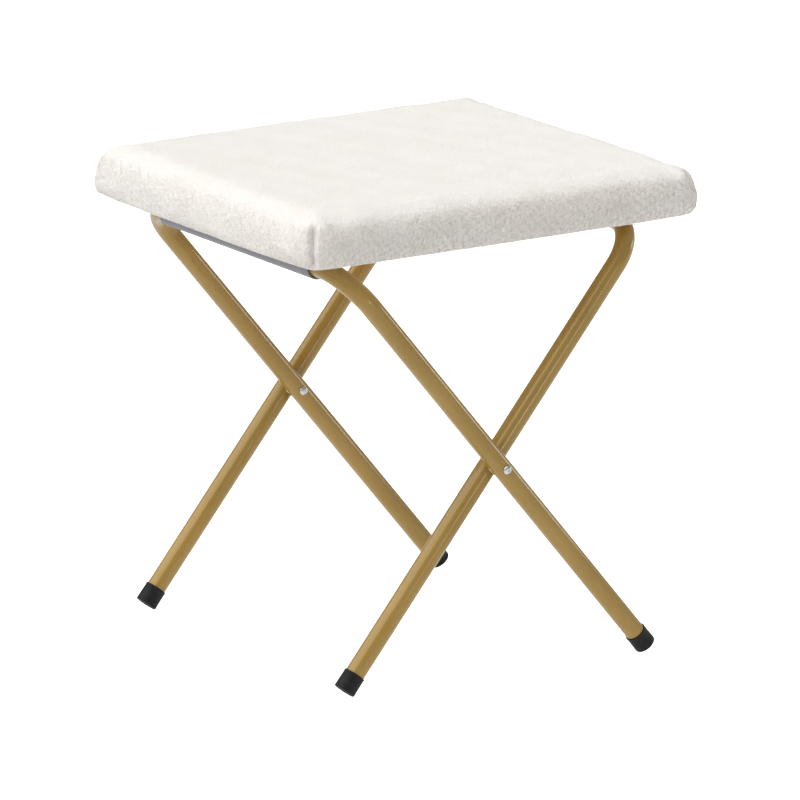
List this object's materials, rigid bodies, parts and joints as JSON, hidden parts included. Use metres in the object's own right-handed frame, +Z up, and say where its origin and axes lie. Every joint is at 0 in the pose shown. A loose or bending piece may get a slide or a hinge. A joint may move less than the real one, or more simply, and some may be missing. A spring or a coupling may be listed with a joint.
{
  "type": "folding bench",
  "caption": "Low folding bench: a square padded seat in plush fleece on two crossed U-shaped tube frames that spread flat under it, with rubber foot caps.",
  "frame": {"origin": "on the floor, under the centre of the seat", "axes": "+Z up; +X across the fold, from the hinged top bar to the clipped one; +Y along the top bars"},
  "size_m": [0.441, 0.405, 0.4594],
  "materials": {
    "fleece": "cream plush fleece with short curly tufts",
    "foam": "pale upholstery foam",
    "plywood": "bare plywood",
    "gold_paint": "glossy metallic bronze-gold paint",
    "channel_steel": "satin grey paint on sheet steel",
    "clip_nylon": "grey moulded nylon",
    "screw_steel": "zinc-plated steel",
    "rivet_steel": "bright rolled rivet steel",
    "washer_nylon": "natural white nylon",
    "rubber": "matte black rubber"
  },
  "bodies": {
    "seat": {"seat_board": "plywood", "foam_pad": "foam", "fleece_cover": "fleece", "hinge_channel": "channel_steel", "channel_screw_1": "screw_steel", "channel_screw_2": "screw_steel", "channel_screw_3": "screw_steel", "channel_screw_4": "screw_steel", "channel_screw_5": "screw_steel", "bar_clip_near": "clip_nylon", "bar_clip_far": "clip_nylon", "clip_screw_near_1": "screw_steel", "clip_screw_near_2": "screw_steel", "clip_screw_far_1": "screw_steel", "clip_screw_far_2": "screw_steel"},
    "hinged_frame": {"hinged_leg_tube": "gold_paint", "hinged_foot_cap_near": "rubber", "hinged_foot_cap_far": "rubber", "pivot_rivet_near": "rivet_steel", "pivot_rivet_far": "rivet_steel", "pivot_washer_near": "washer_nylon", "pivot_washer_far": "washer_nylon"},
    "clipped_frame": {"clipped_leg_tube": "gold_paint", "clipped_foot_cap_near": "rubber", "clipped_foot_cap_far": "rubber"}
  },
  "joints": [
    {"name": "leg_fold", "type": "hinge", "parent": "seat", "child": "hinged_frame", "pos_m": [-0.17021, 0, 0.40189], "axis": [0, -1, 0], "range_deg": [0, 48], "deforming": ["bar_clip_near", "bar_clip_far"]},
    {"name": "scissor", "type": "hinge", "parent": "hinged_frame", "child": "clipped_frame", "pos_m": [-0.004, 0, 0.20027], "axis": [0, -1, 0], "range_deg": [-96, 0]}
  ],
  "couplings": [
    {"joint": "scissor", "follows": "leg_fold", "ratio": -2}
  ]
}
